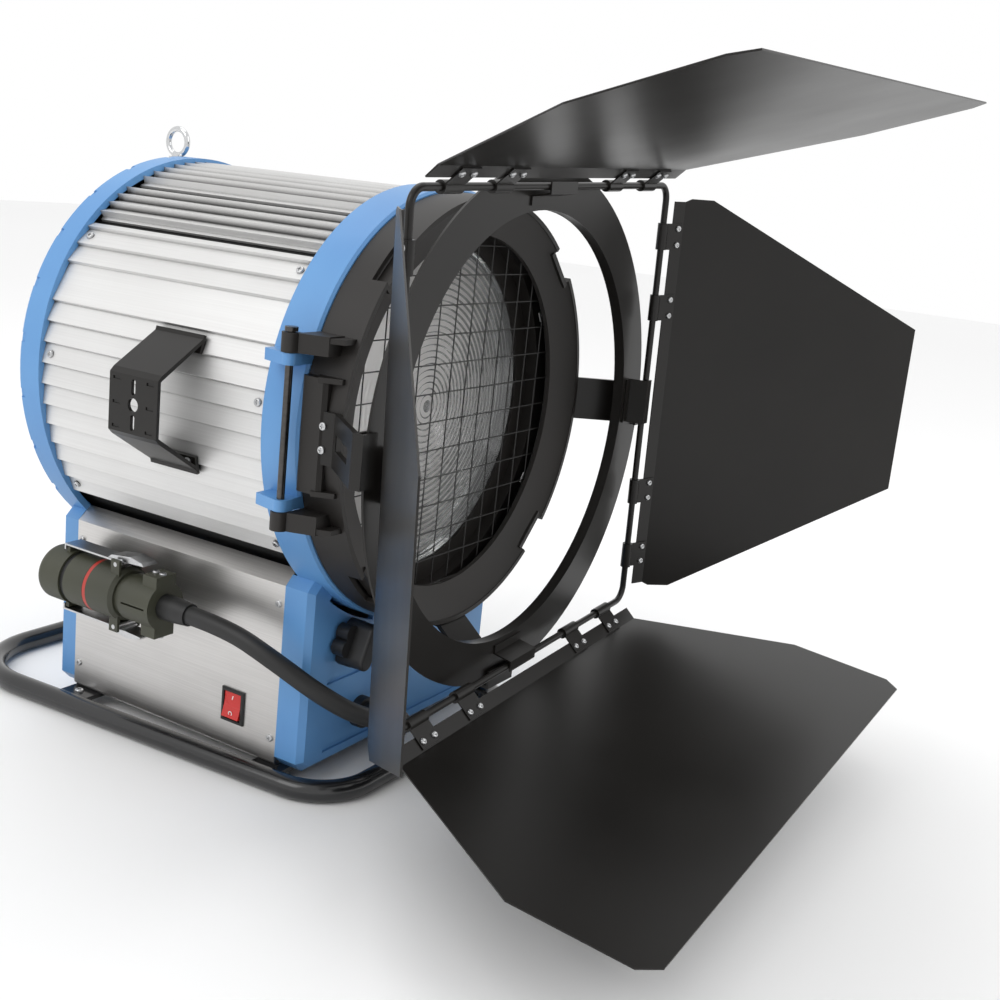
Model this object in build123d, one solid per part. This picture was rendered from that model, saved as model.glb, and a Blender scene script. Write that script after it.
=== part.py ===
from build123d import *
from math import atan2, cos, degrees, hypot, pi, radians, sin, sqrt, tan
import os

# A studio fresnel spotlight.  Millimetres, +Z up, the lens faces -Y.
# The origin is the centre of the base's underside; the optical axis runs along Y above it.

os.makedirs("parts", exist_ok=True)

# ---------------------------------------------------------------- driving dimensions
AXIS_Z = 303          # optical axis above the base underside
RING_R = 187          # outside radius of the two cast body rings
PANEL_R = 184         # radius over the ribs of the body panels
FRONT_Y = -163        # front face of the front ring, where the lens door closes
FRONT_RING_D = 36
PANEL_L = 251
REAR_RING_D = 26
SHEET = 1.5           # folded sheet covers

EYE_Y = PANEL_L + FRONT_Y + FRONT_RING_D + 36
BASE_W = 139          # half width of the base
BASE_H = 173          # height where the base meets the round body
BASE_CHAMFER = 12
BASE_FRONT_Y = -150
BASE_REAR_Y = 146

DOOR_R = 184          # outside radius of the lens door drum
DOOR_D = 38           # how far the drum stands in front of the front ring
DOOR_OPENING_R = 152
LENS_R = 149
LENS_CLEAR_R = 142.5
GUARD_PITCH = 24.5
HINGE_X = -196
HINGE_Y = -158
LATCH_X = 187
LATCH_Z = AXIS_Z - 40
HINGE_HALF = 75       # half height of the door hinge

BARN_DROP = 4         # the barndoor hangs this much low in its brackets
BARN_TURN = 3         # and it is turned this many degrees as it stands
BARN_RING_OUT = 219
BARN_RING_IN = 182
BARN_RING_Y = FRONT_Y - 86.5
ROD_Y = FRONT_Y - 101
ROD_HALF = 202
ROD_R = 3
LEAF_T = 1.2
TOP_ANGLE = 17.7      # each leaf as it stands, measured from straight ahead, outward positive
BOTTOM_ANGLE = 5.3
RIGHT_ANGLE = 40.6
LEFT_ANGLE = 50
TOP_FOLD = 24          # bend between each leaf and the flange that its clips are screwed to
BOTTOM_FOLD = 38
SIDE_FOLD = 24
FLANGE = 24            # from the rod to the bend
FLANGE_START = 11
CLIP_T = 1.2
CLIP_AT = (-156, -90, 90, 156)

SKID_Z = -5
TUBE_R = 9.5
STRAP_T = 4

BRACKET_X = 225       # outer face of the side bracket plates
BRACKET_Y = -30
BRACKET_HALF_W = 26
BRACKET_HALF_H = 27
BRACKET_FOOT = 17.5   # angle of the bracket's feet above and below the middle

KNOB_X = -92
KNOB_Z = 110
CARRIAGE_Y = 30
RAIL_X = 52
RAIL_Z = 184
RAIL_R = 5

SWITCH_Y = -73.5
SWITCH_Z = 40
ROCKER_TILT = 9.6

PLUG_X = -172         # axis of the head connector, parallel to Y
PLUG_Z = 124
PLUG_R = 24.5
PLUG_REAR_Y = 112
PLUG_FRONT_Y = -50

CABLE_R = 8
GLAND_X = -62
GLAND_Z = 36

PANEL_Y0 = FRONT_Y + FRONT_RING_D
PANEL_Y1 = PANEL_Y0 + PANEL_L
REAR_Y = PANEL_Y1 + REAR_RING_D
BARN_Z = AXIS_Z - BARN_DROP
FIT = 0.05            # radial running clearance of shafts and pins
GAP = 0.4             # clearance between free faces that move past each other


# ---------------------------------------------------------------- helpers
def box(x0, x1, y0, y1, z0, z1):
    return Pos((x0 + x1) / 2, (y0 + y1) / 2, (z0 + z1) / 2) * Box(abs(x1 - x0), abs(y1 - y0), abs(z1 - z0))


def cyl_y(r, y0, y1, x=0, z=AXIS_Z):
    return Pos(x, (y0 + y1) / 2, z) * Rot(90, 0, 0) * Cylinder(r, y1 - y0)


def cyl_x(r, x0, x1, y, z):
    return Pos((x0 + x1) / 2, y, z) * Rot(0, 90, 0) * Cylinder(r, x1 - x0)


def cyl_z(r, z0, z1, x, y):
    return Pos(x, y, (z0 + z1) / 2) * Cylinder(r, z1 - z0)


def tube_y(r_out, r_in, y0, y1, x=0, z=AXIS_Z):
    return cyl_y(r_out, y0, y1, x, z) - cyl_y(r_in, y0 - 1, y1 + 1, x, z)


def polygon_y(points, y0, y1):
    """Prism along Y from (x, z) outline points."""
    face = make_face(Polyline(*[(x, z) for x, z in points], close=True))
    return Pos(0, y1, 0) * extrude(Plane.XZ * face, amount=y1 - y0)


def polygon_z(points, z0, z1):
    face = make_face(Polyline(*points, close=True))
    return Pos(0, 0, z0) * extrude(face, amount=z1 - z0)


def polygon_x(points, x0, x1):
    """Prism along X from (y, z) outline points."""
    face = make_face(Polyline(*points, close=True))
    return Pos(x0, 0, 0) * extrude(Plane.YZ * face, amount=x1 - x0)


def turned_y(points):
    """Solid of revolution about the optical axis from (radius, y) outline points."""
    face = make_face(Polyline(*[(r, y, 0) for r, y in points], close=True))
    return Pos(0, 0, AXIS_Z) * revolve(face, Axis.Y)


def on_left(r, angle):
    """(x, z) at a radius from the optical axis; the angle rises from the viewer's left."""
    return -r * cos(radians(angle)), AXIS_Z + r * sin(radians(angle))


def about_axis(shape, angle, z=AXIS_Z):
    """Turn a shape about the optical axis, anticlockwise as seen from the front."""
    return Pos(0, 0, z) * Rot(0, -angle, 0) * Pos(0, 0, -z) * shape


def flip(shape):
    return mirror(shape, about=Plane.YZ)


def pan_screw(r, head=1.8, shank=None):
    """Pan head screw standing on the XY plane, with its shank below and a cross recess."""
    dome = Cylinder(r, head, align=(Align.CENTER, Align.CENTER, Align.MIN))
    dome = fillet(dome.edges().sort_by(Axis.Z)[-1], head * 0.55)
    slot = Box(r * 1.1, r * 0.28, head, align=(Align.CENTER, Align.CENTER, Align.MIN))
    recess = Pos(0, 0, head * 0.45) * (slot + Rot(0, 0, 90) * slot)
    depth = shank or 2 * r
    return dome - recess + Cylinder(r * 0.5, depth, align=(Align.CENTER, Align.CENTER, Align.MAX))


def bent_loop(corners, bends, r):
    """Closed loop of round bar in the XY plane, bent to its own radius at every corner."""
    face = make_face(Polyline(*corners, close=True))
    for (cx, cy), bend in zip(corners, bends):
        face = fillet(face.vertices().sort_by_distance((cx, cy, 0))[0], bend).face()
    path = face.outer_wire()
    profile = Plane(origin=path @ 0, z_dir=path % 0) * Circle(r)
    return sweep(profile, path=path)


def radial_screw(r, radius, angle, y, shank):
    """Pan head screw on the round body at the viewer's left, pointing at the axis."""
    x, z = on_left(radius, angle)
    return Pos(x, y, z) * Rot(0, -90 + angle, 0) * pan_screw(r, shank=shank)


SUBPARTS = {}


def keep(name, *shapes):
    """Collect solids under a sub-part's name; identical pieces share one name."""
    SUBPARTS.setdefault(name, [])
    for shape in shapes:
        SUBPARTS[name] += shape.solids()


def seat(names, tool_name):
    """Cut the seats of fasteners, or of a piece that sits against them, out of its neighbours."""
    for name in names:
        cut = []
        for solid in SUBPARTS[name]:
            for tool in SUBPARTS[tool_name]:
                near, far = solid.bounding_box(), tool.bounding_box()
                apart = near.min.X > far.max.X or near.max.X < far.min.X
                apart = apart or near.min.Y > far.max.Y or near.max.Y < far.min.Y
                apart = apart or near.min.Z > far.max.Z or near.max.Z < far.min.Z
                if not apart:
                    solid = (solid - tool).solids().sort_by(SortBy.VOLUME)[-1]
            cut.append(solid)
        SUBPARTS[name] = cut


# ---------------------------------------------------------------- cast body rings
def front_ring():
    y0 = FRONT_Y
    y1 = PANEL_Y0
    wall = [(168, y0), (RING_R - 2, y0), (RING_R, y0 + 2), (RING_R, y1), (181, y1), (181, y0 + 8), (168, y0 + 8)]
    ring = turned_y(wall)
    knuckle = 4.5
    for z in (AXIS_Z + 55.5, AXIS_Z - 55.5):
        lug = box(HINGE_X, HINGE_X + 30, HINGE_Y - 6, HINGE_Y + 24, z - knuckle, z + knuckle)
        lug += cyl_z(6, z - knuckle, z + knuckle, HINGE_X, HINGE_Y)
        lug += polygon_z([(HINGE_X - 6, HINGE_Y), (HINGE_X, HINGE_Y + 24), (HINGE_X + 2, HINGE_Y)],
                         z - knuckle, z + knuckle)
        lug -= cyl_y(RING_R - 3, y0 - 20, y1 + 20)
        lug -= box(HINGE_X + 7.5, HINGE_X + 40, HINGE_Y - 20, FRONT_Y, z - 9, z + 9)
        ring += lug - cyl_z(3 + FIT, z - 9, z + 9, HINGE_X, HINGE_Y)
    latch_lug = box(RING_R - 16, LATCH_X + 8, y0, y0 + 10, LATCH_Z - 9, LATCH_Z + 9) - cyl_y(RING_R - 3, y0 - 1, y0 + 11)
    ring += latch_lug
    ring -= cyl_y(3.4, y0 - 1, y0 + 8, LATCH_X, LATCH_Z)
    keep("front_ring_casting", ring)


def rear_ring():
    y0 = PANEL_Y1
    y1 = REAR_Y
    wall = [(181, y0), (RING_R, y0), (RING_R, y1 - 3), (RING_R - 2, y1), (164, y1), (164, y1 - 5), (181, y1 - 9)]
    ring = turned_y(wall)
    notches = 24
    for i in range(notches):
        ring -= about_axis(box(RING_R - 2.7, RING_R + 4, y1 - 6.5, y1 + 1, AXIS_Z - 4, AXIS_Z + 4), 360 / notches * (i + 0.5))
    boss = box(-13, 13, y1 - 2, EYE_Y + 12, AXIS_Z + 172.5, AXIS_Z + 183.7)
    ring += fillet(boss.edges().filter_by(Axis.Z).group_by(Axis.Y)[-1], 8)
    ring -= cyl_z(4, AXIS_Z + 174, AXIS_Z + 185, 0, EYE_Y)
    keep("rear_ring_casting", ring)


def rear_cover():
    y0 = REAR_Y
    plate = turned_y([(171, y0), (171, y0 + 2.5), (151, y0 + 2.5), (141, y0 + 12), (0, y0 + 12), (0, y0 + 9.5),
                      (140, y0 + 9.5), (150, y0)])
    louvre_half = 70
    for row in range(6):
        z = AXIS_Z - 75 + 30 * row
        plate -= box(-louvre_half, louvre_half, y0 + 5, y0 + 14, z, z + 5)
        hood = polygon_x([(y0 + 12, z + 12), (y0 + 18, z + 4), (y0 + 16.5, z + 4), (y0 + 11, z + 11)],
                         -louvre_half, louvre_half)
        plate += hood
    keep("rear_cover", plate)
    screws = []
    for i in range(8):
        screw = Pos(167.2, y0 + 2.5, AXIS_Z) * Rot(-90, 0, 0) * pan_screw(3.2, shank=6)
        screws.append(about_axis(screw, 45 * i + 22.5))
    keep("body_screws", *screws)


# ---------------------------------------------------------------- extruded body panels
def ribbed_panel(lips, top, bottom, depth):
    """Extruded panel whose boards step in under each lip; angles fall from top to bottom."""
    inner = PANEL_R - 9
    outline = [on_left(PANEL_R - depth, top)]
    for lip in lips:
        outline.append(on_left(PANEL_R, lip))
        outline.append(on_left(PANEL_R - depth, lip - 0.35))
    outline.append(on_left(PANEL_R - depth, bottom))
    steps = 10
    for i in range(steps + 1):
        outline.append(on_left(inner, bottom + (top - bottom) * i / steps))
    return polygon_y(outline, PANEL_Y0, PANEL_Y1)


def body_panels():
    side_pitch = 5.65
    lips = [41.5 - side_pitch * i for i in range(15) if i != 3]
    side = ribbed_panel(lips, 43.6, -39.2, 3.4)
    shoulder_pitch = 3.75
    shoulder = ribbed_panel([58.6 - shoulder_pitch * i for i in range(4)], 60.9, 46, 6.4)
    top_pitch = 4.1
    top_lips = [114.6 - top_pitch * i for i in range(13)]
    top = ribbed_panel(top_lips, 116.5, 63.5, 6.4)
    keep("side_panels", side, flip(side))
    keep("shoulder_panels", shoulder, flip(shoulder))
    keep("top_panel", top)
    screws = []
    for angle in (38.7, 4.5, -35):
        for y in (PANEL_Y0 + 9, PANEL_Y1 - 9):
            one = radial_screw(3.2, PANEL_R - 1.4, angle, y, 5)
            screws += [one, flip(one)]
    keep("body_screws", *screws)


def inner_liner():
    """Dark sheet drum behind the panels; it is open at the bottom over the base."""
    y0 = FRONT_Y + 8
    y1 = REAR_Y - 7.6
    drum = tube_y(174, 172.8, y0, y1)
    opening = 98
    drum -= box(-opening, opening, y0 - 1, y1 + 1, AXIS_Z - 180, AXIS_Z - 90)
    keep("inner_liner", drum)


# ---------------------------------------------------------------- base
def base_outline(inset=0.0):
    w = BASE_W - inset
    top = 200
    return [(-w + 9, inset), (w - 9, inset), (w, inset + 9), (w, BASE_H - BASE_CHAMFER),
            (w - BASE_CHAMFER, BASE_H), (w - BASE_CHAMFER, top),
            (-w + BASE_CHAMFER, top), (-w + BASE_CHAMFER, BASE_H), (-w, BASE_H - BASE_CHAMFER), (-w, inset + 9)]


def base_front():
    y0 = BASE_FRONT_Y
    y1 = PANEL_Y0 + 5
    body = polygon_y(base_outline(), y0, y1)
    front_edges = body.edges().filter_by(lambda e: abs(e.center().Y - y0) < 0.01 and e.center().Z < 190)
    body = chamfer(front_edges, 5)
    body -= polygon_y(base_outline(5), y0 + 5, y1 + 1)
    body -= cyl_y(RING_R, y0 - 1, y1 + 10)
    for z in (14, 76):
        body -= box(-110, 110, y0 - 1, y0 + 2.5, z - 2.5, z + 2.5)
    for side in (0, 1):
        arc = tube_y(RING_R + 5, RING_R - 2, y0 - 1, y0 + 6)
        x0, z0 = on_left(260, -53)
        x1, z1 = on_left(260, -74)
        wedge = polygon_y([(0, AXIS_Z), (x0, z0), (x1, z1)], y0 - 1, y0 + 6)
        slot = arc & wedge
        body -= flip(slot) if side else slot
    body -= cyl_y(5 + FIT, y0 - 1, y0 + 6, KNOB_X, KNOB_Z)
    body -= cyl_y(10, y0 - 1, y0 + 6, GLAND_X, GLAND_Z)
    keep("base_front_casting", body)


def base_rear():
    y0 = PANEL_Y1
    y1 = BASE_REAR_Y
    body = polygon_y(base_outline(), y0, y1)
    rear_edges = body.edges().filter_by(lambda e: abs(e.center().Y - y1) < 0.01 and e.center().Z < 190)
    body = chamfer(rear_edges, 5)
    body -= polygon_y(base_outline(5), y0 - 1, y1 - 5)
    body -= cyl_y(RING_R, y0 - 1, y1 + 10)
    for row in range(5):
        z = 24 + 16 * row
        body -= box(-80, 80, y1 - 6, y1 + 1, z, z + 6)
    keep("base_rear_casting", body)


def base_covers():
    y0 = PANEL_Y0 + 5
    y1 = PANEL_Y1
    w = BASE_W
    c = BASE_CHAMFER
    t = SHEET
    fold = [(-w + c + 1.5, BASE_H), (-w, BASE_H - c), (-w, 3), (-w + 3, 0), (-w + 22, 0),
            (-w + 22, t), (-w + 3.6, t), (-w + t, 3.6), (-w + t, BASE_H - c - 0.6), (-w + c + 2.1, BASE_H - t)]
    cover = polygon_y(fold, y0, y1)
    hole = box(-w - 1, -w + 3, SWITCH_Y - 10.8, SWITCH_Y + 10.8, SWITCH_Z - 13.8, SWITCH_Z + 13.8)
    left = cover - hole
    keep("base_cover_left", left)
    keep("base_cover_right", flip(cover))
    screws = []
    for y in (y0 + 6, y1 - 6):
        for z in (24, 99, 144):
            one = Pos(-w, y, z) * Rot(0, -90, 0) * pan_screw(3.2, shank=6)
            screws += [one, flip(one)]
    keep("body_screws", *screws)


def base_inside():
    y0 = PANEL_Y0 + 5
    y1 = PANEL_Y1
    half = BASE_W - 24
    keep("base_floor_plate", box(-half, half, y0, y1, 0, 2))
    tray = box(-94, 94, -120, 120, 158, 160)
    tray -= box(-79, -67, -28, 92, 150, 170)
    for y in (-102, 106):
        for x in (-60, 60):
            tray += cyl_z(5, 2, 158, x, y)
    for y in (-105, 107):
        for x in (-RAIL_X, RAIL_X):
            block = box(x - 10, x + 10, y, y + 12, 160, RAIL_Z + 9)
            tray += block - cyl_y(RAIL_R, y - 1, y + 13, x, RAIL_Z)
    bearing = box(KNOB_X - 12, KNOB_X + 12, 104, 114, KNOB_Z - 12, 158)
    tray += bearing - cyl_y(5 + FIT, 100, 121, KNOB_X, KNOB_Z)
    keep("chassis_tray", tray)
    igniter = box(5, 95, -15, 90, 2, 82)
    igniter = fillet(igniter.edges().filter_by(Axis.Z), 5)
    for x in (30, 70):
        igniter += cyl_z(7, 82, 96, x, 40)
    keep("igniter_box", igniter)
    block = box(-60, -12, -95, -65, 2, 26)
    for i in range(4):
        block -= cyl_z(3.5, 18, 30, -54 + 12 * i, -80)
    keep("terminal_block", block)


def skid():
    front = FRONT_Y - 28
    rear = 250
    x_rear = 171
    x_front = 149
    corners = [(x_front, front), (x_rear, rear), (-x_rear, rear), (-x_front, front)]
    loop = Pos(0, 0, SKID_Z) * bent_loop(corners, [50, 76, 76, 50], TUBE_R)
    keep("skid_frame", loop)
    for y, reach in ((108, 164), (-117, 152)):
        keep("skid_straps", box(-reach, reach, y - 16, y + 16, -STRAP_T, 0) - loop)
        for side in (-1, 1):
            keep("body_screws", Pos(95 * side, y, -STRAP_T) * Rot(180, 0, 0) * pan_screw(4, head=2.6, shank=STRAP_T))
    for side in (-1, 1):
        keep("body_screws", Pos(147 * side, 108, 0) * pan_screw(4, head=2.6, shank=STRAP_T))


# ---------------------------------------------------------------- outside fittings
def side_brackets():
    """Channel bracket for the yoke: a plate on two spread arms with feet on the side panel."""
    t = 3
    y0 = BRACKET_Y - BRACKET_HALF_W
    y1 = BRACKET_Y + BRACKET_HALF_W
    foot_x, foot_z = on_left(PANEL_R, BRACKET_FOOT)
    rise = foot_z - AXIS_Z
    h = BRACKET_HALF_H
    x = -BRACKET_X
    outer = [(x, AXIS_Z + h - 4), (x + 4, AXIS_Z + h), (foot_x, foot_z), (foot_x + 0.9, foot_z - t),
             (x + 5, AXIS_Z + h - t - 0.6), (x + t, AXIS_Z + h - 5)]
    lower = [(px, 2 * AXIS_Z - pz) for px, pz in reversed(outer)]
    plate = polygon_y(outer + lower, y0, y1)
    feet = []
    for sign in (1, -1):
        fx, fz = on_left(PANEL_R + t, BRACKET_FOOT)
        gx, gz = on_left(PANEL_R + t, BRACKET_FOOT - 4.6)
        hx, hz = on_left(PANEL_R, BRACKET_FOOT - 4.6)
        corners = [(foot_x, foot_z), (fx, fz), (gx, gz), (hx, hz)]
        if sign < 0:
            corners = [(px, 2 * AXIS_Z - pz) for px, pz in corners]
        feet.append(polygon_y(corners, y0, y1))
    bracket = plate + feet[0] + feet[1] - cyl_y(PANEL_R, y0 - 1, y1 + 1)
    bracket -= cyl_x(5.5, x - 1, x + t + 1, BRACKET_Y, AXIS_Z)
    for offset in (14, -14):
        slot = box(x - 1, x + t + 1, BRACKET_Y - 2.2, BRACKET_Y + 2.2, AXIS_Z + offset - 4, AXIS_Z + offset + 4)
        bracket -= slot
        for end in (-4, 4):
            bracket -= cyl_x(2.2, x - 1, x + t + 1, BRACKET_Y, AXIS_Z + offset + end)
    for z in (AXIS_Z - 19, AXIS_Z, AXIS_Z + 19):
        for y in (y0 + 4, y1 - 12):
            bracket -= box(x - 1, x + 0.8, y, y + 8, z - 1.2, z + 1.2)
    keep("side_brackets", bracket, flip(bracket))
    screws = []
    for angle in (BRACKET_FOOT - 3.2, 3.2 - BRACKET_FOOT):
        for y in (y0 + 8, y1 - 8):
            one = radial_screw(3.4, PANEL_R + t, angle, y, 6)
            screws += [one, flip(one)]
    keep("body_screws", *screws)


def eye_bolt():
    z0 = AXIS_Z + 183.7
    ring = Pos(0, EYE_Y, z0 + 16) * Rot(0, 90, 0) * Torus(12, 2.7)
    collar = cyl_z(8, z0, z0 + 2.5, 0, EYE_Y)
    shank = cyl_z(4, z0 - 9.6, z0 + 1, 0, EYE_Y)
    keep("eye_bolt", ring + collar + cyl_z(4.5, z0 + 2, z0 + 5, 0, EYE_Y) + shank)


def hinge_pin():
    z0 = AXIS_Z - HINGE_HALF - 1
    z1 = AXIS_Z + HINGE_HALF + 1
    pin = cyl_z(3, z0, z1, HINGE_X, HINGE_Y) + cyl_z(5, z1, z1 + 3, HINGE_X, HINGE_Y)
    keep("hinge_pin", pin)


# ---------------------------------------------------------------- lens door
def lens_door():
    """Cast drum: skirt, sloping front ledge, back flange and the collar that holds the lens."""
    y = FRONT_Y
    skirt = turned_y([(DOOR_R, y - GAP), (DOOR_R, y - DOOR_D), (DOOR_R - 4, y - DOOR_D), (DOOR_R - 4, y - GAP)])
    ledge = turned_y([(DOOR_R - 2, y - DOOR_D), (DOOR_R - 2, y - DOOR_D + 4), (DOOR_OPENING_R + 4, y - 20),
                      (DOOR_OPENING_R, y - 20), (DOOR_OPENING_R, y - 24)])
    back = turned_y([(DOOR_R - 2, y - 4), (DOOR_R - 2, y - GAP), (161, y - GAP), (161, y - 4)])
    collar = turned_y([(165, y - 2), (165, y + 19), (161, y + 19), (161, y + 11), (LENS_CLEAR_R, y + 11),
                       (LENS_CLEAR_R, y + 8), (161, y + 8), (161, y - 2)])
    door = skirt + ledge + back + collar
    for corner in (45, 135, 225, 315):
        notch = box(DOOR_R - 9, DOOR_R + 5, y - DOOR_D - 1, y - DOOR_D + 14, AXIS_Z - 19, AXIS_Z + 19)
        door -= about_axis(notch, corner)
        floor = box(DOOR_R - 12, DOOR_R - 7, y - DOOR_D + 1.5, y - DOOR_D + 15, AXIS_Z - 21, AXIS_Z + 21)
        door += about_axis(floor, corner)
    for z0, z1 in ((AXIS_Z + 60.4, AXIS_Z + HINGE_HALF), (AXIS_Z - HINGE_HALF, AXIS_Z - 60.4)):
        ear = polygon_z([(HINGE_X, HINGE_Y - 7), (HINGE_X, HINGE_Y), (HINGE_X + 7, HINGE_Y - 5.4),
                         (HINGE_X + 26, y - GAP), (HINGE_X + 26, y - 24), (HINGE_X + 8, y - 24)], z0, z1)
        ear += cyl_z(7, z0, z1, HINGE_X, HINGE_Y)
        ear -= cyl_y(DOOR_R - 3, y - 30, y + 30)
        ear -= box(HINGE_X + 7.2, HINGE_X + 40, y - GAP, y + 30, z0 - 1, z1 + 1)
        door += ear - cyl_z(3 + FIT, z0 - 1, z1 + 1, HINGE_X, HINGE_Y)
    beam = box(HINGE_X + 8, HINGE_X + 26, y - 24, y - GAP, AXIS_Z - 44, AXIS_Z + 44)
    door += chamfer(beam.edges().group_by(Axis.X)[0].filter_by(Axis.Z), 3) - cyl_y(DOOR_R - 3, y - 30, y + 5)
    for z in (AXIS_Z + 72, AXIS_Z + 43, AXIS_Z - 43, AXIS_Z - 72):
        fin = polygon_z([(HINGE_X + 6, y - 18), (HINGE_X + 30, y - GAP), (HINGE_X + 30, y - 34),
                         (HINGE_X + 14, y - 34)], z - 2, z + 2)
        door += fin - cyl_y(DOOR_R - 3, y - 50, y + 30)
    lug = box(DOOR_R - 16, LATCH_X + 8, y - 10, y - GAP, LATCH_Z - 9, LATCH_Z + 9)
    lug -= cyl_y(3 + FIT, y - 12, y + 1, LATCH_X, LATCH_Z)
    door += lug - cyl_y(DOOR_R - 3, y - 12, y + 1)
    keep("lens_door_frame", door)
    knob = cyl_y(7, y - 22, y - 10 - GAP, LATCH_X, LATCH_Z)
    knob = chamfer(knob.edges().group_by(Axis.Y)[0], 1)
    for i in range(12):
        knob -= Pos(LATCH_X, y - 16, LATCH_Z) * Rot(0, 30 * i, 0) * Pos(7.4, 0, 0) * Box(1.6, 14, 1.6)
    knob += cyl_y(3, y - 11, y + 5, LATCH_X, LATCH_Z)
    keep("door_thumbscrew", knob)


def fresnel_lens():
    """Stepped lens: ring facets on the front, flat back."""
    y_front = FRONT_Y + 11.2
    y_back = y_front + 9
    zones = 12
    step = LENS_CLEAR_R / zones
    outline = [(0, y_back)]
    outline.append((0, y_front + 1))
    for i in range(zones):
        r0 = step * i
        r1 = step * (i + 1)
        rise = 0.6 + 2.4 * (i + 1) / zones
        if i:
            outline.append((r0 + 0.05, y_front + 1))
        outline.append((r1, y_front + 1 + rise))
    outline += [(LENS_CLEAR_R + 0.5, y_front), (LENS_R, y_front), (LENS_R, y_back)]
    keep("fresnel_lens", turned_y(outline))
    clips = []
    screws = []
    for i in range(4):
        clip = box(LENS_R - 10, 160.8, y_back + 0.1, y_back + 1.3, AXIS_Z - 7, AXIS_Z + 7)
        clip += box(159.4, 160.8, y_back - 6, y_back + 1.3, AXIS_Z - 7, AXIS_Z + 7)
        clips.append(about_axis(clip, 45 + 90 * i))
        screw = Pos(159.2, y_back - 3, AXIS_Z) * Rot(0, -90, 0) * pan_screw(2.2, head=1.2, shank=1.2)
        screws.append(about_axis(screw, 45 + 90 * i))
    keep("lens_clips", *clips)
    keep("lens_clips", *screws)


def wire_guard():
    """Square welded mesh behind the ledge, in a round rim wire."""
    y = FRONT_Y - 17.6
    wire = 0.6
    weld = 0.8 * wire
    rim = DOOR_OPENING_R + 5
    guard = Pos(0, y, AXIS_Z) * Rot(90, 0, 0) * Torus(rim, 1.5)
    count = 6
    for i in range(-count, count + 1):
        offset = GUARD_PITCH * (i - 0.2)
        half = sqrt(max(rim * rim - offset * offset, 0))
        if half < 30:
            continue
        guard += cyl_x(wire, -half, half, y - weld, AXIS_Z + offset)
        offset = GUARD_PITCH * (i + 0.5)
        half = sqrt(max(rim * rim - offset * offset, 0))
        if half > 30:
            guard += cyl_z(wire, AXIS_Z - half, AXIS_Z + half, offset, y + weld)
    keep("wire_guard", guard)
    tabs = []
    for i in range(6):
        tab = box(DOOR_OPENING_R + 2, DOOR_OPENING_R + 10, y + 1.6, y + 2.8, AXIS_Z - 5, AXIS_Z + 5)
        tabs.append(about_axis(tab, 60 * i + 30))
    keep("lens_clips", *tabs)


def accessory_brackets():
    """Three folded brackets that hold the barndoor ring by its edge."""
    y = FRONT_Y
    ring_front = BARN_RING_Y - 1.0
    ring_back = BARN_RING_Y + 1.0
    t = 2.5
    r0 = DOOR_R
    r_seat = BARN_RING_OUT + 6.5
    half = 20
    arm = [(r0, y - 14), (r0 + t, y - 14), (r0 + t, y - 33), (r_seat + t, ring_back + 4), (r_seat + t, ring_front - 1 - t),
           (r_seat - 14, ring_front - 1 - t), (r_seat - 14, ring_front - 1), (r_seat, ring_front - 1),
           (r_seat, ring_back + 1), (r_seat - 14, ring_back + 1), (r_seat - 14, ring_back + 1 + t),
           (r_seat - 3, ring_back + 1 + t), (r0, y - 36)]
    angles = (0, 180, 270)
    screws = []
    for angle in angles:
        piece = polygon_z(arm, AXIS_Z - half, AXIS_Z + half)
        if angle == 180:
            piece -= box(r0 + 8, r_seat - 6, y - 80, y - 40, AXIS_Z - 6, AXIS_Z + 6)
        piece -= cyl_y(DOOR_R + 0.05, y - DOOR_D - 3, y)
        keep("accessory_brackets", about_axis(piece, angle))
        for z in (-9, 9):
            screw = Pos(r0 + t, y - 23, AXIS_Z + z) * Rot(0, 90, 0) * pan_screw(3.2, shank=5.4)
            screws.append(about_axis(screw, angle))
    keep("accessory_bracket_screws", *screws)


# ---------------------------------------------------------------- barndoor
def barn(shape):
    """Place a shape drawn about the origin into the barndoor's own turned frame."""
    return Pos(0, 0, BARN_Z) * Rot(0, -BARN_TURN, 0) * shape


def barndoor_frame():
    plate = cyl_y(BARN_RING_OUT, BARN_RING_Y - 1, BARN_RING_Y + 1, 0, 0)
    plate -= cyl_y(BARN_RING_IN, BARN_RING_Y - 5, BARN_RING_Y + 5, 0, 0)
    lip = cyl_y(BARN_RING_IN + 2, BARN_RING_Y, BARN_RING_Y + 9, 0, 0)
    lip -= cyl_y(BARN_RING_IN, BARN_RING_Y - 1, BARN_RING_Y + 12, 0, 0)
    keep("barndoor_ring", barn(plate + lip))
    h = ROD_HALF
    loop = bent_loop([(h, -h), (h, h), (-h, h), (-h, -h)], [14] * 4, ROD_R)
    keep("hinge_rod_frame", barn(Pos(0, ROD_Y, 0) * Rot(90, 0, 0) * loop))
    clips = []
    t = 1.5
    front = ROD_Y - ROD_R - t
    foot_y = BARN_RING_Y - 1
    side = [(186, foot_y), (h - 8, foot_y), (h - 5, ROD_Y - ROD_R), (h + 3.5, ROD_Y - ROD_R), (h + 3.5, front),
            (h - 6, front), (h - 9, foot_y - t), (186, foot_y - t)]
    for i in range(4):
        clip = polygon_z(side, -21, 21)
        clips.append(Rot(0, -90 * i, 0) * clip)
    keep("rod_clips", *[barn(clip) for clip in clips])


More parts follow.
